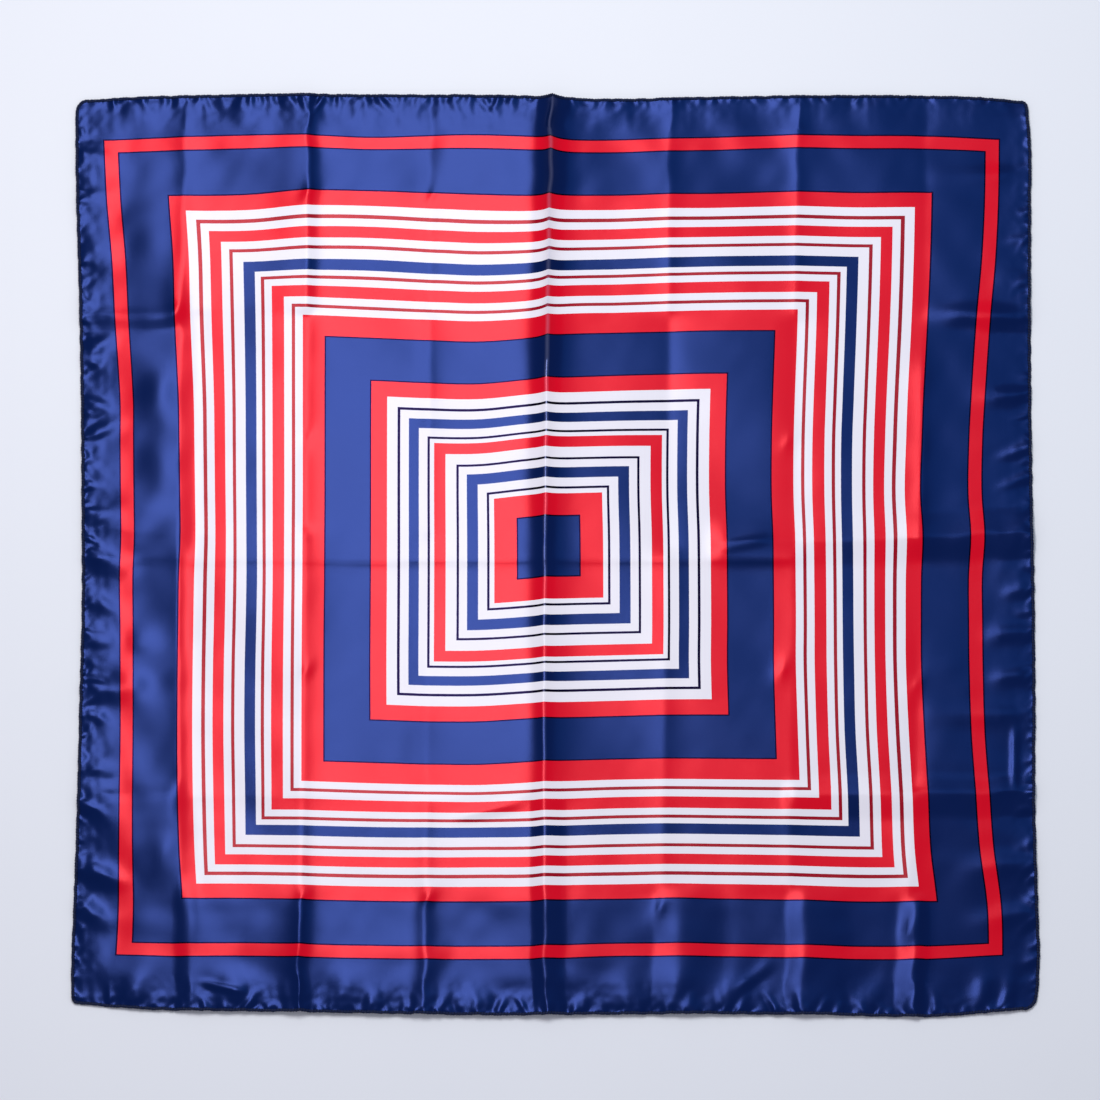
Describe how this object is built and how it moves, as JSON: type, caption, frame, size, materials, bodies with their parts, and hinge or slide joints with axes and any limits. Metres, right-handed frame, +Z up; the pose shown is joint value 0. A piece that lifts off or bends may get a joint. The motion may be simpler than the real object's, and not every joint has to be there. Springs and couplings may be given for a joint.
{
  "type": "bandana",
  "caption": "Square satin bandana opened out flat from its packing folds, with a printed border of nested square stripes and a narrow rolled hem.",
  "frame": {"origin": "middle of the bandana's outer box, on the surface that it lies on", "axes": "+X to the bandana's right and +Y to its top edge as pictured, +Z up out of the printed face"},
  "size_m": [0.909, 0.9091, 0.017],
  "materials": {
    "printed_satin": "printed polyester satin in nested square stripes of navy, red and white, soft sheen",
    "rolled_hem": "narrow rolled satin hem overlocked in dark navy thread"
  },
  "bodies": {
    "root": {"cloth_panel": "printed_satin", "hem_top": "rolled_hem", "hem_right": "rolled_hem", "hem_bottom": "rolled_hem", "hem_left": "rolled_hem"}
  },
  "joints": []
}
